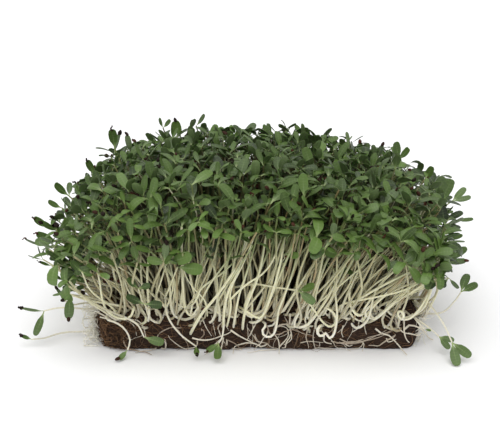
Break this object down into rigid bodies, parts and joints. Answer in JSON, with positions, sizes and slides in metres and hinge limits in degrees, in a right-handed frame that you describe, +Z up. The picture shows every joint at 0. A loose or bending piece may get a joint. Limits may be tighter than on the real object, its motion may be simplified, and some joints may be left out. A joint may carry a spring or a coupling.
{
  "type": "microgreens block on growing medium",
  "caption": "Dense block of young sprouts with oval seed leaves, pale stems and spilling roots, standing on a flat slab of dark peat.",
  "frame": {"origin": "middle of the peat slab's underside", "axes": "+X along the slab's longer side, +Y to the back, +Z up out of the slab"},
  "size_m": [0.2188, 0.1675, 0.0927],
  "materials": {
    "leaf": "satin green seed leaf, paler below",
    "stem_root": "moist cream to pale green stem and root",
    "seed_coat": "dry dark brown husk",
    "growing_medium": "moist fibrous peat"
  },
  "bodies": {
    "root": {"peat_slab": "growing_medium", "roots_front": "stem_root", "roots_back": "stem_root", "roots_left": "stem_root", "roots_right": "stem_root", "tuft_a1": "leaf", "tuft_a2": "leaf", "tuft_a3": "leaf", "tuft_a4": "leaf", "tuft_a5": "leaf", "tuft_b1": "leaf", "tuft_b2": "leaf", "tuft_b3": "leaf", "tuft_b4": "leaf", "tuft_b5": "leaf", "tuft_c1": "leaf", "tuft_c2": "leaf", "tuft_c3": "leaf", "tuft_c4": "leaf", "tuft_c5": "leaf", "tuft_d1": "leaf", "tuft_d2": "leaf", "tuft_d3": "leaf", "tuft_d4": "leaf", "tuft_d5": "leaf", "tuft_e1": "leaf", "tuft_e2": "leaf", "tuft_e3": "leaf", "tuft_e4": "leaf", "tuft_e5": "leaf", "tuft_f1": "leaf", "tuft_f2": "leaf", "tuft_f3": "leaf", "tuft_f4": "leaf", "tuft_f5": "leaf", "tuft_g1": "leaf", "tuft_g2": "leaf", "tuft_g3": "leaf", "tuft_g4": "leaf", "tuft_g5": "leaf"}
  },
  "joints": []
}
